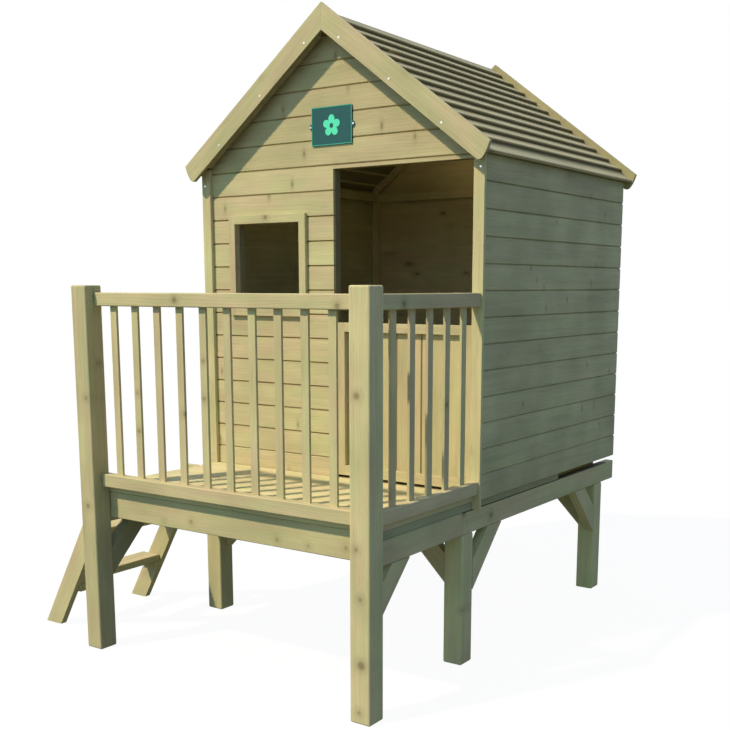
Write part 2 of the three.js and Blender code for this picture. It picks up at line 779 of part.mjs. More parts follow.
// The bare plaque with an eyelet at each end
function addPlaque() {
  const shape = new THREE.Shape();
  const a = plaque_width / 2;
  const b = plaque_height / 2;
  const r = plaque_corner;
  shape.absarc(a - r, b - r, r, 0, Math.PI / 2);
  shape.absarc(r - a, b - r, r, Math.PI / 2, Math.PI);
  shape.absarc(r - a, r - b, r, Math.PI, 3 * Math.PI / 2);
  shape.absarc(a - r, r - b, r, 3 * Math.PI / 2, 2 * Math.PI);
  const plate_y = [house_front - joint_gap - plaque_thickness, house_front - joint_gap];
  const flat = (outline, curveSegments) => {
    const depth = plaque_thickness;
    const geometry = new THREE.ExtrudeGeometry(outline, { depth, bevelEnabled: false, curveSegments });
    geometry.translate(0, plaque_height_middle, 0);
    return placed('y', geometry, ...plate_y);
  };
  const ears = Object.values(sides).map((side) => {
    const ear = new THREE.Shape();
    ear.absarc(side * a, 0, plaque_ear_radius, 0, 2 * Math.PI);
    const hole = new THREE.Path();
    hole.absarc(side * (a + plaque_ear_radius / 2), 0, plaque_ear_hole, 0, 2 * Math.PI);
    ear.holes.push(hole);
    return flat(ear, round_steps / 2);
  });
  place('plaque', join([flat(shape, round_steps / 8), ...ears]), plaque_plastic);
}

addPosts();
addBearers();
addBraces();
addFloor();
addRails();
const ladder_foot = addLadder();
addWalls();
addWallFrames();
addTrims();
addRoof();
addDoor();
addHinge('low', (ledge_low[0] + ledge_low[1]) / 2);
addHinge('high', (ledge_high[0] + ledge_high[1]) / 2);
addPlaque();

// Origin under the middle of the bounding box: the ladder's foot reaches furthest to the left,
// the barge boards furthest to the right
playhouse.position.set(-(ladder_foot + barge_half_span) / 2, -bearer_end / 2, 0);

export default playhouse;
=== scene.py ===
import math
import bpy
import bmesh
from mathutils import Euler, Matrix, Vector


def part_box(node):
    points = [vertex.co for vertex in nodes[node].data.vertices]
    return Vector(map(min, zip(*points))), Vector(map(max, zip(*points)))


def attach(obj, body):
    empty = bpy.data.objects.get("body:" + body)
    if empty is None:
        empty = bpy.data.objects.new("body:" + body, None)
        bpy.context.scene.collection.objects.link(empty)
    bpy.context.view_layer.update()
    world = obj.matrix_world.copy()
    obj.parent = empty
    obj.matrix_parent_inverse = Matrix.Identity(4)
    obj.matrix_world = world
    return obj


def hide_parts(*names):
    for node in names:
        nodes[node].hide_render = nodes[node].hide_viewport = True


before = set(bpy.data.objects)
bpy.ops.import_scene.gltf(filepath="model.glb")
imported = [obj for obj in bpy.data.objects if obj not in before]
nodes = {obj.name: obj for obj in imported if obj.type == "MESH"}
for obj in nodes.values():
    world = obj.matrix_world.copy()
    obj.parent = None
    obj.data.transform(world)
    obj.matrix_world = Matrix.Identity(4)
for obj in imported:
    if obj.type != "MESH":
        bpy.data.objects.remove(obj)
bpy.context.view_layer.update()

# The camera stands in front of the playhouse and to its right, a little above the rails, and looks
# slightly down. Its place is measured from the front left post's outer corner at the ground.
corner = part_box("post_front_left")[0]
camera_data = bpy.data.cameras.new("camera")
camera_data.sensor_width = 36
camera_data.lens = 51.27
camera_data.shift_x = -0.0173
camera_data.shift_y = 0.1377
camera = bpy.data.objects.new("camera", camera_data)
camera.location = corner + Vector((2.7991, -2.2831, 1.2385))
camera.rotation_euler = Euler((math.radians(90 - 9.80), 0, math.radians(34.55)))
bpy.context.scene.collection.objects.link(camera)
bpy.context.scene.camera = camera
bpy.context.scene.view_settings.view_transform = "Standard"


# Colours are written as sRGB hex and turned to linear here.
def linear(text):
    parts = [int(text[i:i + 2], 16) / 255 for i in (1, 3, 5)]
    return [p / 12.92 if p <= 0.04045 else ((p + 0.055) / 1.055) ** 2.4 for p in parts] + [1]


# Adds a node with its settings, and sets or links its inputs.
def add(tree, kind, inputs=None, **settings):
    made = tree.nodes.new("ShaderNode" + kind)
    for name, value in settings.items():
        setattr(made, name, value)
    for key, value in (inputs or {}).items():
        if isinstance(value, bpy.types.NodeSocket):
            tree.links.new(value, made.inputs[key])
        else:
            made.inputs[key].default_value = value
    return made


# Daylight: a warm sun from the front left, a broad soft glow from the front, and a bluish sky all
# round. On a face that looks to the front they add up to plain white, so that colours come out as
# they are written. A weak level light from behind keeps the back from the dark.
def shine(name, energy, colour, degrees, heading):
    data = bpy.data.lights.new(name, "SUN")
    data.energy = energy
    data.color = colour
    data.angle = math.radians(degrees)
    lamp = bpy.data.objects.new(name, data)
    lamp.rotation_euler = Vector(heading).to_track_quat("-Z", "Y").to_euler()
    bpy.context.scene.collection.objects.link(lamp)


shine("sun", 3.75, (1.0, 0.855, 0.70), 2.2, (0.298, 0.574, -0.763))
shine("front_glow", 0.5, (0.61, 1.0, 0.97), 70, (0.05, 0.97, -0.24))
shine("back_light", 1.3, (0.85, 0.89, 0.9), 12, (0, -1, 0))

world = bpy.data.worlds.new("sky")
bpy.context.scene.world = world
world.use_nodes = True
sky = world.node_tree
sky.nodes.clear()
fill = add(sky, "Background", {"Color": (0.36, 0.565, 1.0, 1), "Strength": 0.595})
white = add(sky, "Background", {"Color": (1, 1, 1, 1), "Strength": 1.0})
ray = add(sky, "LightPath").outputs
seen = add(sky, "Math", {0: ray["Is Camera Ray"], 1: ray["Is Glossy Ray"]}, operation="MAXIMUM")
seen = add(sky, "Math", {0: seen.outputs[0], 1: ray["Is Transmission Ray"]}, operation="MAXIMUM")
either = add(sky, "MixShader", {0: seen.outputs[0], 1: fill.outputs[0], 2: white.outputs[0]})
add(sky, "OutputWorld", {"Surface": either.outputs[0]})

# A plain floor, white to the camera in the sun, which keeps a light shadow of the playhouse. To
# the wood it gives an even, dim bounce, slightly green.
floor_form = bmesh.new()
bmesh.ops.create_grid(floor_form, x_segments=1, y_segments=1, size=40)
floor_mesh = bpy.data.meshes.new("floor")
floor_form.to_mesh(floor_mesh)
floor_form.free()
floor = bpy.data.objects.new("floor", floor_mesh)
bpy.context.scene.collection.objects.link(floor)
paper = bpy.data.materials.new("floor_paper")
paper.use_nodes = True
tree = paper.node_tree
tree.nodes.clear()
dull = add(tree, "BsdfDiffuse", {"Color": (0.045, 0.045, 0.045, 1)})
seen = add(tree, "LightPath").outputs["Is Camera Ray"]
glow = add(tree, "Mix", {"Factor": seen, "A": (0.125, 0.14, 0.095, 1), "B": (0.955, 0.955, 0.955, 1)},
           data_type="RGBA").outputs["Result"]
glow = add(tree, "Emission", {"Color": glow, "Strength": 1.0})
both = add(tree, "AddShader", {0: dull.outputs[0], 1: glow.outputs[0]})
add(tree, "OutputMaterial", {"Surface": both.outputs[0]})
floor_mesh.materials.append(paper)


# Posts: six square timbers of pressure-treated pine, planed on four sides, which stand on the ground
# and carry everything else. Their arrises are rounded by a router.
# The pine is the same solid pattern everywhere, laid along each timber's own grain, and each timber
# or board starts at another place in it. The treatment leaves a pale yellow-green, and the eye sees
# slow patches of pink and green, soft growth rings, short dark streaks and small knots. Rings and
# fibres are drawn about twice as wide as real ones, so that they show.
per_metre = 1000
ring_mm = 8.5
fibre_mm = 1.8
knot_cell_mm = (330, 70, 60)
knot_rarity = 0.87
timber_spacing = 311.0
log_spacing_mm = (9000, 2600, 2600)
cloud_mm = 240
# Each noise's length along the grain, its width across it, and its octaves
grain_noises = {"patch": (210, 55, 2.0), "streak": (380, 15, 3.0), "dash": (75, 6, 2.0),
                "fibre": (70, fibre_mm, 1.0), "wander": (520, 110, 1.5)}


def pine(name, grain, width, turn=(0, 0, 0), board_mm=None, first_m=0.0, crossed=(), knots=(),
         knot_shape=(0.75, 0.75), joint_mm=None, joint_shade_and_stain=0.5, centre_mm=None, lap_mm=None,
         clouds=0.06, under=0.0, shade_to_m=None, early=("#C6C48A", "#D3BC91"), late="#AEA577"):
    material = bpy.data.materials.new(name)
    material.use_nodes = True
    tree = material.node_tree
    tree.nodes.clear()
    depth = ({"X", "Y", "Z"} - {grain, width}).pop()
    unturned = add(tree, "TexCoord").outputs["Object"]
    place = add(tree, "Mapping", {"Vector": unturned, "Rotation": [math.radians(a) for a in turn],
                                  "Scale": (per_metre, per_metre, per_metre)}).outputs[0]
    axes = add(tree, "SeparateXYZ", {0: place}).outputs
    laid = add(tree, "CombineXYZ", {0: axes[grain], 1: axes[width], 2: axes[depth]}).outputs[0]

    # Which timber this is, and which of its boards
    whole = add(tree, "ObjectInfo").outputs["Random"]
    whole = add(tree, "Math", {0: whole, 1: timber_spacing}, operation="MULTIPLY").outputs[0]
    piece = whole
    if board_mm:
        first_mm = first_m * per_metre
        count = add(tree, "MapRange", {"Value": axes[width], "From Min": first_mm,
                                       "From Max": first_mm + board_mm}, clamp=False).outputs[0]
        board = add(tree, "Math", {0: count}, operation="FLOOR").outputs[0]
        piece = add(tree, "Math", {0: piece, 1: board}, operation="ADD").outputs[0]

    # Boxes of this piece where timbers run the other way, each given by one to three spans
    inside = 0.0
    for number, spans in enumerate(crossed, start=1):
        within = 1.0
        for axis, (low, high) in spans.items():
            near = add(tree, "Math", {0: axes[axis], 1: (low + high) / 2 * per_metre,
                                      2: (high - low) / 2 * per_metre}, operation="COMPARE").outputs[0]
            within = add(tree, "Math", {0: within, 1: near}, operation="MULTIPLY").outputs[0]
        inside = add(tree, "Math", {0: inside, 1: within}, operation="MAXIMUM").outputs[0]
        another = add(tree, "Math", {0: whole, 1: number * 7.0}, operation="ADD").outputs[0]
        piece = add(tree, "Mix", {"Factor": within, "A": piece, "B": another}).outputs["Result"]
    if crossed:
        other = add(tree, "CombineXYZ", {0: axes[width], 1: axes[grain], 2: axes[depth]}).outputs[0]
        laid = add(tree, "Mix", {"Factor": inside, "A": laid, "B": other},
                   data_type="VECTOR").outputs["Result"]
    chance = add(tree, "TexWhiteNoise", {"W": piece}, noise_dimensions="1D").outputs
    log = add(tree, "VectorMath", {0: chance["Color"], 1: log_spacing_mm, 2: laid},
              operation="MULTIPLY_ADD").outputs[0]

    # Patches of tone along the log, long streaks of resin, short dark dashes and fine fibres
    noises = {}
    for use, (along_mm, across_mm, octaves) in grain_noises.items():
        scaled = add(tree, "VectorMath", {0: log, 1: (1 / along_mm, 1 / across_mm, 1 / across_mm)},
                     operation="MULTIPLY").outputs[0]
        noises[use] = add(tree, "TexNoise", {"Vector": scaled, "Scale": 1.0, "Detail": octaves}).outputs
    patch = add(tree, "SeparateColor", {0: noises["patch"]["Color"]}).outputs
    streak = add(tree, "MapRange", {"Value": noises["streak"][0], "From Min": 0.3,
                                    "From Max": 0.72}).outputs[0]
    dash = add(tree, "MapRange", {"Value": noises["dash"][0], "From Min": 0.6, "From Max": 0.75,
                                  "To Max": 0.3}).outputs[0]
    fibre = noises["fibre"][0]

    # Chance knots: one at most in each stretch of log, most of them missing
    cells_in = add(tree, "VectorMath", {0: log, 1: knot_cell_mm}, operation="DIVIDE").outputs[0]
    cells = add(tree, "TexVoronoi", {"Vector": cells_in, "Scale": 1.0}).outputs
    offset = add(tree, "VectorMath", {0: cells_in, 1: cells["Position"]}, operation="SUBTRACT").outputs[0]
    shape = (knot_cell_mm[0] * knot_shape[0], knot_cell_mm[1] * knot_shape[1], knot_cell_mm[2] * 0.35)
    offset = add(tree, "VectorMath", {0: offset, 1: shape}, operation="MULTIPLY").outputs[0]
    away = add(tree, "VectorMath", {0: offset}, operation="LENGTH").outputs["Value"]
    cell = add(tree, "SeparateColor", {0: cells["Color"]}).outputs[0]
    present = add(tree, "Math", {0: cell, 1: knot_rarity}, operation="GREATER_THAN").outputs[0]
    radius = add(tree, "MapRange", {"Value": cell, "From Min": knot_rarity, "To Min": 2.0,
                                    "To Max": 6.0}).outputs[0]
    edge = add(tree, "Math", {0: radius, 1: away}, operation="SUBTRACT").outputs[0]
    edge = add(tree, "Mix", {"Factor": present, "A": -60.0, "B": edge}).outputs["Result"]

    # Knots where this piece has them, each with its middle and radius in millimetres
    squeeze = [1.0, 1.0, 1.0]
    squeeze["XYZ".index(grain)] = knot_shape[0]
    squeeze["XYZ".index(width)] = knot_shape[1]
    squeeze["XYZ".index(depth)] = 0.15
    for x, y, z, size in knots:
        offset = add(tree, "VectorMath", {0: place, 1: (x, y, z)}, operation="SUBTRACT").outputs[0]
        offset = add(tree, "VectorMath", {0: offset, 1: squeeze}, operation="MULTIPLY").outputs[0]
        away = add(tree, "VectorMath", {0: offset}, operation="LENGTH").outputs["Value"]
        away = add(tree, "Math", {0: size * 0.7, 1: away}, operation="SUBTRACT").outputs[0]
        edge = add(tree, "Math", {0: edge, 1: away}, operation="MAXIMUM").outputs[0]
    ragged = add(tree, "MapRange", {"Value": dash, "To Min": -1.0, "To Max": 6.0}).outputs[0]
    edge = add(tree, "Math", {0: edge, 1: ragged}, operation="SUBTRACT").outputs[0]
    core = add(tree, "MapRange", {"Value": edge, "From Min": -3.0, "From Max": 4.0,
                                  "To Max": 0.58}).outputs[0]
    halo = add(tree, "MapRange", {"Value": edge, "From Min": -20.0, "From Max": 1.0},
               interpolation_type="SMOOTHSTEP").outputs[0]

    # Growth rings, which wander slowly along the log and part round each knot
    wander = add(tree, "Math", {0: noises["wander"][0], 1: 62.0}, operation="MULTIPLY").outputs[0]
    bent = add(tree, "Math", {0: halo, 1: 9.0, 2: wander}, operation="MULTIPLY_ADD").outputs[0]
    radial = add(tree, "VectorMath", {0: log, 1: (0, 0.8, 0.5)}, operation="DOT_PRODUCT").outputs["Value"]
    radial = add(tree, "Math", {0: radial, 1: bent}, operation="ADD").outputs[0]
    radial = add(tree, "Math", {0: radial, 1: 2 * math.pi / ring_mm}, operation="MULTIPLY").outputs[0]
    wave = add(tree, "Math", {0: radial}, operation="SINE").outputs[0]
    rings = add(tree, "MapRange", {"Value": wave, "From Min": -0.4, "From Max": 1.0},
                interpolation_type="SMOOTHSTEP").outputs[0]

    # Colour: earlywood between a green and a pink tone, darker latewood and streaks, then the knots
    tone = add(tree, "MapRange", {"Value": patch[0], "From Min": 0.36, "From Max": 0.64}).outputs[0]
    tone = add(tree, "Mix", {"Factor": 0.3, "A": tone, "B": chance["Value"]}).outputs["Result"]
    wood = add(tree, "Mix", {"Factor": tone, "A": linear(early[0]), "B": linear(early[1])},
               data_type="RGBA").outputs["Result"]
    shade = add(tree, "Math", {0: rings, 1: 0.13}, operation="MULTIPLY").outputs[0]
    shade = add(tree, "Math", {0: streak, 1: 0.32, 2: shade}, operation="MULTIPLY_ADD").outputs[0]
    shade = add(tree, "Math", {0: fibre, 1: 0.16, 2: shade}, operation="MULTIPLY_ADD").outputs[0]
    shade = add(tree, "Math", {0: shade, 1: dash}, operation="ADD", use_clamp=True).outputs[0]
    ringed = add(tree, "Math", {0: halo, 1: 0.4}, operation="MULTIPLY").outputs[0]
    for amount, colour in ((shade, late), (ringed, "#A0926A"), (core, "#6A5838")):
        wood = add(tree, "Mix", {"Factor": amount, "A": wood, "B": linear(colour)},
                   data_type="RGBA").outputs["Result"]

    # Some boards are paler than others, and damp and dry air have passed over the whole in clouds
    level = add(tree, "MapRange", {"Value": chance["Value"], "To Min": 1.035, "To Max": 0.965}).outputs[0]
    uneven = add(tree, "MapRange", {"Value": patch[1], "From Min": 0.3, "From Max": 0.7,
                                    "To Min": 0.93, "To Max": 1.07}).outputs[0]
    level = add(tree, "Math", {0: level, 1: uneven}, operation="MULTIPLY").outputs[0]
    cloud = add(tree, "TexNoise", {"Vector": place, "Scale": 1 / cloud_mm, "Detail": 2.0}).outputs[0]
    cloud = add(tree, "MapRange", {"Value": cloud, "From Min": 0.35, "From Max": 0.65,
                                   "To Min": 1 - clouds, "To Max": 1 + clouds}).outputs[0]
    level = add(tree, "Math", {0: level, 1: cloud}, operation="MULTIPLY").outputs[0]
    wood = add(tree, "VectorMath", {0: wood, "Scale": level}, operation="SCALE").outputs[0]

    # What lies on the wood, with painted shade and highlights, is gathered here, from the lowest coat up
    marks_and_painted_light = []
    normal = add(tree, "NewGeometry").outputs["True Normal"]
    facing = add(tree, "SeparateXYZ", {0: normal}).outputs["Z"]
    back = add(tree, "SeparateXYZ", {0: unturned}).outputs["Y"]

    # Painted shade, with stain and dust, in the grooves between boards, on outer faces with an inner side
    if joint_mm:
        nearest = add(tree, "Math", {0: count}, operation="ROUND").outputs[0]
        off = add(tree, "Math", {0: count, 1: nearest}, operation="SUBTRACT").outputs[0]
        off = add(tree, "Math", {0: off}, operation="ABSOLUTE").outputs[0]
        line = add(tree, "MapRange", {"Value": off, "From Min": joint_mm * 1.7 / board_mm,
                                      "From Max": joint_mm * 0.4 / board_mm,
                                      "To Max": joint_shade_and_stain}).outputs[0]
        if centre_mm:
            outward = add(tree, "VectorMath", {0: place, 1: centre_mm}, operation="SUBTRACT").outputs[0]
            outward = add(tree, "VectorMath", {0: outward, 1: normal},
                          operation="DOT_PRODUCT").outputs["Value"]
            outward = add(tree, "Math", {0: outward, 1: 0.0}, operation="GREATER_THAN").outputs[0]
            line = add(tree, "Math", {0: line, 1: outward}, operation="MULTIPLY").outputs[0]
        marks_and_painted_light.append((line, "#80673A"))

    # Painted shade, with some algae and dirt, on the faces that look up, under the lap of each board and
    # along its lower edge. The lower edges, facing away from the sun, get a warmer brown: painted light.
    if lap_mm:
        down = add(tree, "Math", {0: count}, operation="FRACT").outputs[0]
        upper = add(tree, "MapRange", {"Value": down, "From Min": lap_mm / board_mm,
                                       "From Max": lap_mm * 0.3 / board_mm},
                    interpolation_type="SMOOTHSTEP").outputs[0]
        lower = add(tree, "MapRange", {"Value": down, "From Min": 1 - 15 / board_mm,
                                       "From Max": 1 - 3 / board_mm},
                    interpolation_type="SMOOTHSTEP").outputs[0]
        lap_shade_and_dirt = add(tree, "Math", {0: upper, 1: lower}, operation="MAXIMUM").outputs[0]
        top = add(tree, "MapRange", {"Value": facing, "To Max": 0.8, "From Min": 0.2,
                                     "From Max": 0.5}).outputs[0]
        lap_shade_and_dirt = add(tree, "Math", {0: lap_shade_and_dirt, 1: top}, operation="MULTIPLY").outputs[0]
        painted_edge_light = add(tree, "Math", {0: facing, 1: -0.2, 2: 0.45}, operation="COMPARE").outputs[0]
        painted_edge_light = add(tree, "Math", {0: painted_edge_light, 1: 0.85}, operation="MULTIPLY").outputs[0]
        marks_and_painted_light += [(lap_shade_and_dirt, "#615D3D"), (painted_edge_light, "#9A8350")]

    # Painted shade, with some grime, on the faces that look down
    if under:
        underside_shade_and_grime = add(tree, "MapRange", {"Value": facing, "From Min": -0.3, "From Max": -0.6,
                                       "To Max": under}).outputs[0]
        marks_and_painted_light.append((underside_shade_and_grime, "#4A4530"))

    # Painted shade on the faces that look up under the house, as far back as the rear wall
    if shade_to_m:
        under_house_shade = add(tree, "MapRange", {"Value": facing, "From Min": 0.3, "From Max": 0.6,
                                      "To Max": 0.85}).outputs[0]
        sheltered = add(tree, "Math", {0: back, 1: shade_to_m}, operation="LESS_THAN").outputs[0]
        under_house_shade = add(tree, "Math", {0: under_house_shade, 1: sheltered}, operation="MULTIPLY").outputs[0]
        marks_and_painted_light.append((under_house_shade, "#20261C"))

    # Inside the house a pale line is painted along each board's edge under the roof: painted highlight
    if lap_mm:
        ledge = add(tree, "Math", {0: down, 1: 0.87, 2: 0.09}, operation="COMPARE").outputs[0]
        ledge = add(tree, "Math", {0: ledge, 1: underside_shade_and_grime}, operation="MULTIPLY").outputs[0]
        indoors = add(tree, "Math", {0: back, 1: deck_back}, operation="GREATER_THAN").outputs[0]
        ledge = add(tree, "Math", {0: ledge, 1: indoors}, operation="MULTIPLY").outputs[0]
        marks_and_painted_light.append((ledge, "#F4EABC"))
    for amount, colour in marks_and_painted_light:
        wood = add(tree, "Mix", {"Factor": amount, "A": wood, "B": linear(colour)},
                   data_type="RGBA").outputs["Result"]

    # Planed face, dry and nearly dull: latewood and fibres stand up by tenths of a millimetre
    relief = add(tree, "Math", {0: fibre, 1: 0.5, 2: rings}, operation="MULTIPLY_ADD").outputs[0]
    bump = add(tree, "Bump", {"Strength": 0.3, "Distance": 0.0004, "Height": relief}).outputs[0]
    rough = add(tree, "MapRange", {"Value": rings, "To Min": 0.72, "To Max": 0.6}).outputs[0]
    surface = add(tree, "BsdfPrincipled", {"Base Color": wood, "Roughness": rough,
                                           "Specular IOR Level": 0.12, "Normal": bump})
    add(tree, "OutputMaterial", {"Surface": surface.outputs[0]})
    return material


# Gives CAD nodes their finish, and softens their sawn edges.
def dress(names, material, soften_mm=0.0):
    for name in names:
        node = nodes[name]
        node.data.materials.clear()
        node.data.materials.append(material)
        if soften_mm:
            weld = node.modifiers.new("weld", "WELD")
            weld.merge_threshold = 0.00001
            bevel = node.modifiers.new("soften", "BEVEL")
            bevel.width = soften_mm / per_metre
            bevel.segments = 2
            bevel.limit_method = "ANGLE"
            bevel.angle_limit = math.radians(25)


def named(start):
    return sorted(name for name in nodes if name.startswith(start))


# Makes a mesh into a piece of the playhouse, which rides on a body and may stand for CAD nodes.
def finish(name, form, material, material_slot, body="house", stands_for=()):
    mesh = bpy.data.meshes.new(name)
    form.to_mesh(mesh)
    form.free()
    mesh.materials.append(material)
    piece = bpy.data.objects.new(name, mesh)
    bpy.context.scene.collection.objects.link(piece)
    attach(piece, body)
    if stands_for:
        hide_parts(*stands_for)


# A planed timber between two corners, with its arrises rounded by a router.
def timber(name, low, high, material, arris_mm, **where):
    form = bmesh.new()
    bmesh.ops.create_cube(form, size=1)
    bmesh.ops.scale(form, verts=form.verts, vec=Vector(high) - Vector(low))
    bmesh.ops.translate(form, verts=form.verts, vec=(Vector(high) + Vector(low)) / 2)
    rounded = bmesh.ops.bevel(form, geom=form.edges[:], offset=arris_mm / per_metre, segments=4,
                              profile=0.5, affect="EDGES", material=-1)
    for face in rounded["faces"]:
        face.smooth = True
    finish(name, form, material, "timber", **where)


post_knots = [(716, -915, 944, 9), (730, -915, 178, 12), (727, -915, 372, 4), (722, -915, 35, 4),
              (714, -915, 514, 4), (-388, -915, 872, 5), (-404, -915, 504, 7), (728, -361, 190, 4)]
post_pine = pine("post_pine", "Z", "X", knots=post_knots, early=("#CBCD8E", "#DAC695"))
# The posts on the left get a darker copy of the pine: painted shade.
shaded_left_post_pine = pine("shaded_left_post_pine", "Z", "X", knots=post_knots, early=("#C0BF87", "#CDBA8E"),
                      late="#A39B6E")
post_arris_mm = 6.0
for name in named("post_"):
    low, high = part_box(name)
    look = shaded_left_post_pine if name.endswith("left") else post_pine
    timber(name + "_timber", low, high, look, post_arris_mm, stands_for=[name])

# Bearers run front to back on the posts, two lengths a side, and three beams cross between them.
# They are planed pine, fixed to the posts' sides. Under the house their tops get painted shade.
bearer_knots = [(728, -154, 476, 8), (728, -338, 513, 8)]
bearer_pine = pine("bearer_pine", "Y", "Z", knots=bearer_knots)
dress(named("bearer_front"), bearer_pine, 1.2)
dress(named("bearer_rear"), pine("shaded_bearer_pine", "Y", "Z", knots=bearer_knots,
                               shade_to_m=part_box("rear_wall")[1].y), 1.2)
beam_knots = [(8, -844, 489, 5), (368, -844, 480, 4), (488, -844, 478, 3), (627, -844, 492, 4)]
dress(named("beam_"), pine("beam_pine", "X", "Z", knots=beam_knots, early=("#BDBB82", "#C9B48A")), 1.2)

# Knee braces: planed pine, cut at forty-five degrees at both ends, and fixed between a post and the
# timber over it. The front and the middle one on the left are darker than the rest: painted shade.
brace_arris_mm = 0.8
dress(["brace_front_right", "brace_mid_right"],
      pine("brace_back_pine", "Y", "Z", turn=(-45, 0, 0)), brace_arris_mm)
dress(["brace_front_left", "brace_mid_left"],
      pine("brace_dark_pine", "Y", "Z", turn=(-45, 0, 0), early=("#9FA077", "#A59A76"), late="#827E5C"),
      brace_arris_mm)
dress(["brace_rear_left", "brace_rear_right"],
      pine("brace_fore_pine", "Y", "Z", turn=(45, 0, 0)), brace_arris_mm)
for side, turn in (("left", (0, 45, 0)), ("right", (0, -45, 0))):
    dress(["brace_mid_cross_" + side, "brace_rear_cross_" + side],
          pine("brace_%s_pine" % side, "X", "Z", turn=turn), brace_arris_mm)

# Floor: long rims over the bearers, six planed pine boards across the veranda, and the boards of the
# house floor, all nailed down. A thin strip covers the ends of the veranda's boards on the right.
dress(named("floor_rim_"), pine("rim_pine", "Y", "Z", early=("#A9AC80", "#A6A27A"), late="#8A8765"), 1.0)
deck_boards = 6
deck_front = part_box("deck")[0].y
deck_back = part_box("deck")[1].y
deck_gap = 0.003
deck_pitch_mm = (deck_back - deck_front + deck_gap) * per_metre / deck_boards
dress(["deck"], pine("deck_pine", "X", "Y", board_mm=deck_pitch_mm, first_m=deck_front,
                     early=("#D6D396", "#E0CB9B"), late="#B6AF7D"))
# The house floor gets a darker copy of the pine: painted shade.
dress(["house_floor"], pine("shaded_floor_board_pine", "X", "Y", board_mm=96, first_m=deck_back,
                            early=("#9A966C", "#A09270"), late="#827A57"))
strip_thickness = 0.003
deck_top_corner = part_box("deck")[1]
strip_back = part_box("corner_trim_right")[0].y - 0.0006
strip_low = Vector((deck_top_corner.x + 0.0002, deck_front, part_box("floor_rim_right")[1].z + 0.0004))
strip_high = Vector((strip_low.x + strip_thickness, strip_back, deck_top_corner.z + 0.001))
timber("deck_edge_strip", strip_low, strip_high, bearer_pine, 0.6)

# Rails: planed pine bars, fixed between the posts. The lower one carries thin laths, which stand on
# it and reach the upper one. Half the laths' pitch counts as a board, so each lath has its own grain.
top_rail_knots = [(0, -880, 1196, 9), (627, -880, 1184, 8)]
dress(["rail_front_top"], pine("top_rail_pine", "X", "Z", knots=top_rail_knots), 1.0)
dress(["rail_side_top"], pine("side_rail_pine", "Y", "Z", knots=[(751, -732, 1189, 9)]), 1.0)
rail_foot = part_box("rail_front_bottom")[0]
rail_height = 0.0442
rail_band = {"Z": (rail_foot.z - 0.01, rail_foot.z + rail_height)}
lath_knots = [(16, -864, 841, 7), (-196, -864, 771, 5), (100, -864, 1011, 5), (100, -864, 894, 5),
              (153, -864, 745, 4)]
dress(["rail_front_bottom"], pine("front_lath_pine", "Z", "X", board_mm=99.3 / 2, first_m=rail_foot.x,
                                  crossed=[rail_band], knots=lath_knots), 0.8)
dress(["rail_side_bottom"], pine("side_lath_pine", "Z", "Y", board_mm=99 / 2,
                                 first_m=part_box("rail_side_bottom")[0].y, crossed=[rail_band]), 0.8)

# Ladder: two leaning pine boards, screwed to the deck's left edge, with two treads between them, each
# on a pair of cleats.
lean = 60
dress(named("ladder_stringer"), pine("stringer_pine", "X", "Z", turn=(0, lean, 0)), 1.0)
dress(named("ladder_tread"), bearer_pine, 1.5)

# Walls: tongued pine boards with a groove at each joint, nailed to the inner frame. Their knots are
# cut along, so they show as short upright marks. The sides are greener, and their grooves are fainter.
cladding_pitch_mm = 84.2
groove_mm = 3.0
upright_mark = (1.5, 0.65)
cladding_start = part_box("side_wall_left")[0].z
left_low, right_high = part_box("side_wall_left")[0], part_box("side_wall_right")[1]
house_centre_mm = [c * per_metre / 2 for c in left_low + right_high]
front_knots = [(-337, -274, 1518, 6), (-18, -274, 1590, 8), (37, -274, 1688, 8), (-373, -274, 920, 5),
               (-387, -274, 646, 5), (-51, -274, 566, 4), (362, -274, 1755, 9),
               (491, -274, 1711, 6), (-54, -274, 1842, 7)]
rear_knots = [(-244, 833, 1337, 13), (-67, 833, 1555, 9), (-201, 833, 1292, 8), (53, 833, 1294, 7)]
side_knots = [(756, 530, 1561, 7), (756, 669, 1507, 6), (756, 241, 1460, 5), (756, 46, 1298, 8),
              (756, 600, 1314, 6), (756, 151, 1232, 6), (756, 558, 1250, 6), (756, 345, 1188, 9),
              (756, 172, 1159, 8), (756, 546, 940, 8), (756, 513, 777, 8), (756, 11, 839, 7)]
across = {"board_mm": cladding_pitch_mm, "first_m": cladding_start, "joint_mm": groove_mm,
          "joint_shade_and_stain": 0.65, "centre_mm": house_centre_mm}
dress(["front_wall"], pine("front_cladding_pine", "X", "Z", knots=front_knots, knot_shape=upright_mark,
                           **across))
dress(["rear_wall"], pine("rear_cladding_pine", "X", "Z", knots=rear_knots, knot_shape=(0.5, 1.0),
                          early=("#C6BE88", "#D3B68C"), **across))
dress(["front_gable"], pine("gable_cladding_pine", "X", "Z", knots=front_knots, knot_shape=upright_mark,
                            early=("#C0BA85", "#CAB78A"), late="#A89D70", **across))
# The sides' greener, darker pine and fainter grooves are painted shade.
dress(named("side_wall_"), pine("shaded_side_cladding_pine", "Y", "Z", board_mm=cladding_pitch_mm,
                                first_m=cladding_start, joint_mm=groove_mm, knots=side_knots,
                                knot_shape=(1.5, 0.9), joint_shade_and_stain=0.14, centre_mm=house_centre_mm,
                                clouds=0.12, early=("#BEBC86", "#C0B788"), late="#98916A"))

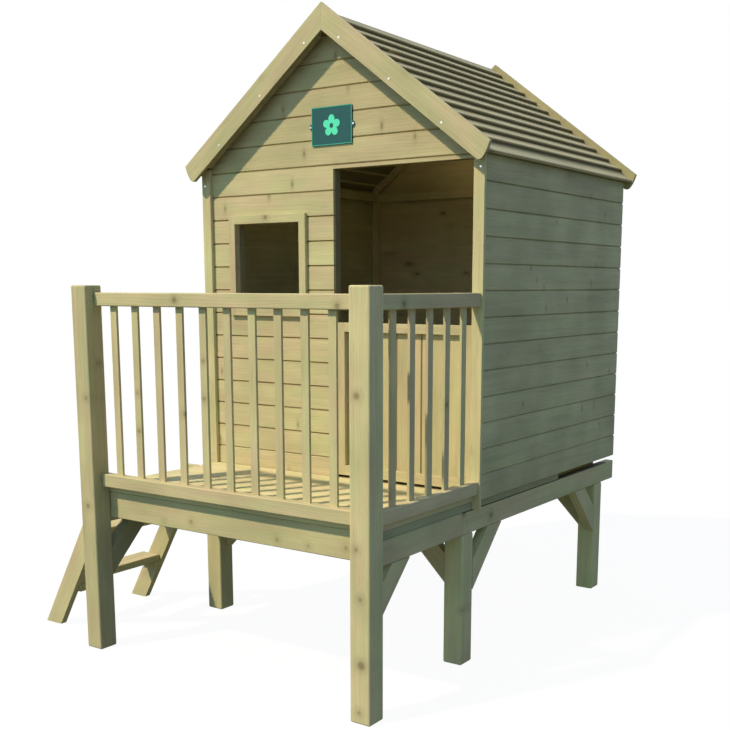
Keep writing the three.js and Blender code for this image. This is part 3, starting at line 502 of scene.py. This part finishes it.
# Frames inside the two ends: sawn pine studs, with plates, a window head and sill, and rafters between
# them. The boards are nailed to them. Every span is a height in metres where timbers lie level.
stud_m = 0.028
frame_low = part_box("front_frame")[0]
wall_plate = {"Z": (frame_low.z - 0.01, frame_low.z + stud_m)}
head = {"Z": (1.631, 1.659)}
rear_plate = {"Z": (1.614, 1.646)}
gable_part = {"Z": (1.66, 2.2)}
dress(["front_frame"], pine("front_stud_pine", "Z", "X", board_mm=140, first_m=0.03,
                            crossed=[wall_plate, head, gable_part], early=("#8C8866", "#938667"),
                            late="#706A4C"))
dress(["rear_frame"], pine("rear_stud_pine", "Z", "X", board_mm=140, first_m=0.03,
                           crossed=[wall_plate, rear_plate, gable_part]))

# Trims of planed pine cover the front corners, and a flat frame of the same goes round the window.
# Both are screwed on over the boards.
dress(named("corner_trim_"), post_pine, 0.8)
window_low, window_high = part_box("window_frame")
edge_m = 0.029
between = (window_low.x + edge_m, window_high.x - edge_m)
window_pine = pine("window_pine", "Z", "X", board_mm=180, first_m=window_low.x - 0.02,
                   crossed=[{"Z": (window_low.z - 0.01, window_low.z + edge_m), "X": between},
                            {"Z": (window_high.z - edge_m, window_high.z + 0.01), "X": between}],
                   knots=[(-133, -288, 1481, 8)])
dress(["window_frame"], window_pine, 0.8)

# Roof: overlapping pine boards in a darker grey-green, nailed to rafters. Painted shade, with some
# dirt, lies under every lap and on the faces that look down. Distances run down each slope from the ridge.
slope = math.atan(0.76)
course_mm = 68
first_course = 0.046
lap_mm = 42
roof_low, roof_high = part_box("roof_right")
middle_x = (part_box("roof_left")[1].x + roof_low.x) / 2
for side, name in ((1, "roof_right"), (-1, "roof_left")):
    start = side * middle_x * math.cos(slope) - roof_high.z * math.sin(slope) + first_course
    turn = (0, -side * math.degrees(slope), 0 if side > 0 else 180)
    dress([name], pine(name + "_pine", "Y", "X", turn=turn, board_mm=course_mm, first_m=start,
                       lap_mm=lap_mm, under=0.5, early=("#B8B58C", "#BBB28B"), late="#97926F"))

# Barge boards: planed pine with rounded lower ends, screwed on to close the roof at both ends. The two
# at the rear are darker, and the faces that look down get painted shade.
barge_tones = {"front": (("#C1BD87", "#CFB991"), "#AAA073"), "rear": (("#A8A36F", "#B2A578"), "#8F875E")}
for side, rise in (("right", -1), ("left", 1)):
    for place, (early, late) in barge_tones.items():
        name = "barge_%s_%s" % (place, side)
        dress([name], pine(name + "_pine", "X", "Z", turn=(0, rise * math.degrees(slope), 0),
                           early=early, late=late, under=0.6), 1.0)

# Light inside: a dim lamp under the ridge stands for the daylight that comes in round the boards, and
# a second one warms the rear gable. Neither the camera nor a glossy face sees them.
door_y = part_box("front_frame")[1].y
for name, energy, place, heading in (("ridge_lamp", 0.38, (0, door_y + 0.05, 1.9), (0, 0.94, -0.34)),
                                     ("gable_lamp", 0.28, (-0.05, 0.42, 1.70), (0.35, 0.36, 0.86))):
    lamp_data = bpy.data.lights.new(name, "AREA")
    lamp_data.shape = "RECTANGLE"
    lamp_data.size = 0.4
    lamp_data.size_y = 0.3
    lamp_data.energy = energy
    lamp_data.color = (1.0, 0.84, 0.58)
    lamp = bpy.data.objects.new(name, lamp_data)
    lamp.location = Vector(place) + Vector((middle_x, 0, 0))
    lamp.rotation_euler = Vector(heading).to_track_quat("-Z", "Y").to_euler()
    lamp.visible_camera = False
    lamp.visible_glossy = False
    bpy.context.scene.collection.objects.link(lamp)

# Half door: upright pine boards with grooves between them in a flat frame, and ledges with a brace
# nailed on behind. The frame's level bars are the two spans between its stiles.
leaf_low, leaf_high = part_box("door_frame")
stile_m = 0.041
inner = (leaf_low.x + stile_m, leaf_high.x - stile_m)
door_frame_pine = pine("door_frame_pine", "Z", "X", board_mm=300, first_m=leaf_low.x - 0.02,
                       crossed=[{"Z": (leaf_low.z - 0.01, leaf_low.z + 0.035), "X": inner},
                                {"Z": (leaf_high.z - 0.031, leaf_high.z + 0.01), "X": inner}])
dress(["door_frame"], door_frame_pine, 0.8)
dress(["door_boards"], pine("door_board_pine", "Z", "X", board_mm=100, first_m=leaf_high.x,
                            joint_mm=groove_mm, early=("#C0BF84", "#D0B88B")))
dress(["door_ledges"], pine("ledge_pine", "X", "Z", board_mm=170, first_m=leaf_low.z), 0.8)


# Strap hinges and screws: pressed steel with a zinc coat. It gives the hinges a satin grey with a
# faint spangle, and leaves the heads of the screws bright. The hinges are screwed to leaf and wall.
spangle_mm = 5.0


def zinc(name, darker, lighter, dull, bright):
    material = bpy.data.materials.new(name)
    material.use_nodes = True
    tree = material.node_tree
    tree.nodes.clear()
    place = add(tree, "TexCoord").outputs["Object"]
    spangle = add(tree, "TexVoronoi", {"Vector": place, "Scale": per_metre / spangle_mm}).outputs["Color"]
    spangle = add(tree, "SeparateColor", {0: spangle}).outputs[0]
    grey = add(tree, "Mix", {"Factor": spangle, "A": linear(darker), "B": linear(lighter)},
               data_type="RGBA").outputs["Result"]
    dullness = add(tree, "MapRange", {"Value": spangle, "To Min": bright, "To Max": dull}).outputs[0]
    metal = add(tree, "BsdfPrincipled", {"Base Color": grey, "Metallic": 1.0, "Roughness": dullness})
    add(tree, "OutputMaterial", {"Surface": metal.outputs[0]})
    return material


dress(named("hinge_"), zinc("zinc_plated_steel", "#AEB2B4", "#C6C8C8", 0.48, 0.32), 0.2)
bright_zinc = zinc("bright_zinc", "#E4E8EA", "#F4F6F6", 0.4, 0.3)
screw_radius = 0.004
screw_depth = 0.0012
screw_proud = 0.0002


# Countersunk heads with a rounded rim, driven flush.
def screws(name, spots, facing, body="house"):
    form = bmesh.new()
    turned = Vector(facing).to_track_quat("Z", "Y").to_matrix().to_4x4()
    for spot in spots:
        head = bmesh.ops.create_cone(form, cap_ends=True, segments=16, radius1=screw_radius,
                                     radius2=screw_radius * 0.82, depth=screw_depth)
        placed = Matrix.Translation(Vector(spot) + Vector(facing) * screw_proud) @ turned
        bmesh.ops.transform(form, matrix=placed, verts=head["verts"])
    finish(name, form, bright_zinc, "hinge_metal", body=body)


barge_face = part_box("barge_front_left")[0].y
barge_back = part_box("barge_rear_left")[1].y
barge_spots = [(middle_x + side * away, height) for side in (-1, 1) for away, height in
               ((0.072, 2.035), (0.269, 1.886), (0.465, 1.736))]
screws("barge_screws_front", [(x, barge_face, z) for x, z in barge_spots], (0, -1, 0))
screws("barge_screws_rear", [(x, barge_back, z) for x, z in barge_spots], (0, 1, 0))
trim_low, trim_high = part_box("corner_trim_left")[0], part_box("corner_trim_right")[1]
from_edge = 0.015
trim_spots = [(x, trim_low.y, z) for x in (trim_low.x + from_edge, trim_high.x - from_edge)
              for z in (1.602, 0.60)]
screws("trim_screws", trim_spots, (0, -1, 0))
knuckle_depth = 0.0045
for level in ("low", "high"):
    strap_low, strap_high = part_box("hinge_%s_strap" % level)
    middle_z = (strap_low.z + strap_high.z) / 2
    strap_spots = [(strap_low.x + away, strap_high.y - knuckle_depth, middle_z)
                   for away in (0.015, 0.07, 0.125)]
    screws("hinge_%s_strap_screws" % level, strap_spots, (0, 1, 0), body="half_door")

# Plaque: an injection-moulded plate in dark teal, with a raised green rim and a plain five-petalled
# flower in mint, screwed to the gable by an eyelet at each end. Moulded grit, drawn coarser than the
# real one so that it shows, breaks up its slight shine.
grit_mm = 2.0
mottle_mm = 60.0


def plastic(name, colour):
    material = bpy.data.materials.new(name)
    material.use_nodes = True
    tree = material.node_tree
    tree.nodes.clear()
    place = add(tree, "TexCoord").outputs["Object"]
    grit = add(tree, "TexNoise", {"Vector": place, "Scale": per_metre / grit_mm, "Detail": 2.0}).outputs[0]
    mottle = add(tree, "TexNoise", {"Vector": place, "Scale": per_metre / mottle_mm,
                                    "Detail": 2.0}).outputs[0]
    tint = add(tree, "MapRange", {"Value": mottle, "To Min": 0.9, "To Max": 1.1}).outputs[0]
    shade = add(tree, "VectorMath", {0: linear(colour)[:3], "Scale": tint}, operation="SCALE").outputs[0]
    bump = add(tree, "Bump", {"Strength": 0.2, "Distance": 0.0002, "Height": grit}).outputs[0]
    surface = add(tree, "BsdfPrincipled", {"Base Color": shade, "Roughness": 0.55,
                                           "Specular IOR Level": 0.2, "Normal": bump})
    add(tree, "OutputMaterial", {"Surface": surface.outputs[0]})
    return material


dress(["plaque"], plastic("moulded_teal", "#2B5B58"), 0.4)
plaque_low, plaque_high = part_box("plaque")
plaque_middle = (plaque_low + plaque_high) / 2
plate_half = Vector((0.085, 0.063))
raised = 0.0009
sunk = 0.0002


# A flat outline in the plaque's plane, made solid: its back lies just inside the plate's face.
def raise_from_plaque(name, form, colour):
    raised_part = bmesh.ops.extrude_face_region(form, geom=form.faces[:])["geom"]
    tops = [v for v in raised_part if isinstance(v, bmesh.types.BMVert)]
    bmesh.ops.translate(form, verts=tops, vec=(0, 0, raised + sunk))
    bmesh.ops.recalc_face_normals(form, faces=form.faces)
    bmesh.ops.rotate(form, verts=form.verts, cent=(0, 0, 0), matrix=Matrix.Rotation(math.pi / 2, 3, "X"))
    bmesh.ops.translate(form, verts=form.verts,
                        vec=(plaque_middle.x, plaque_low.y + sunk, plaque_middle.z))
    finish(name, form, plastic(name + "_plastic", colour), "plaque")


rim_width = 0.0038
rim_inset = 0.0006
rim = bmesh.new()
bmesh.ops.create_grid(rim, x_segments=1, y_segments=1, size=1)
bmesh.ops.scale(rim, verts=rim.verts, vec=(plate_half.x - rim_inset, plate_half.y - rim_inset, 1))
centre_face = rim.faces[:]
bmesh.ops.inset_region(rim, faces=centre_face, thickness=rim_width, use_boundary=True)
bmesh.ops.delete(rim, geom=centre_face, context="FACES_ONLY")
raise_from_plaque("plaque_rim", rim, "#46AE8D")

petal_reach = 0.036
petal_base = 0.019
eye_radius = 0.008
flower_steps = 120
flower = bmesh.new()
outline, eye = [], []
for step in range(flower_steps):
    angle = 2 * math.pi * step / flower_steps
    swell = abs(math.cos(2.5 * (angle - math.pi / 2))) ** 0.7
    reach = petal_base + (petal_reach - petal_base) * swell
    outline.append(flower.verts.new((reach * math.cos(angle), reach * math.sin(angle), 0)))
    eye.append(flower.verts.new((eye_radius * math.cos(angle), eye_radius * math.sin(angle), 0)))
for step in range(flower_steps):
    after = (step + 1) % flower_steps
    flower.faces.new((outline[step], outline[after], eye[after], eye[step]))
raise_from_plaque("plaque_flower", flower, "#5FE8B4")
eyelet_reach = 0.09
screws("plaque_screws", [(plaque_middle.x + side * eyelet_reach, plaque_low.y, plaque_middle.z)
                         for side in (-1, 1)], (0, -1, 0))
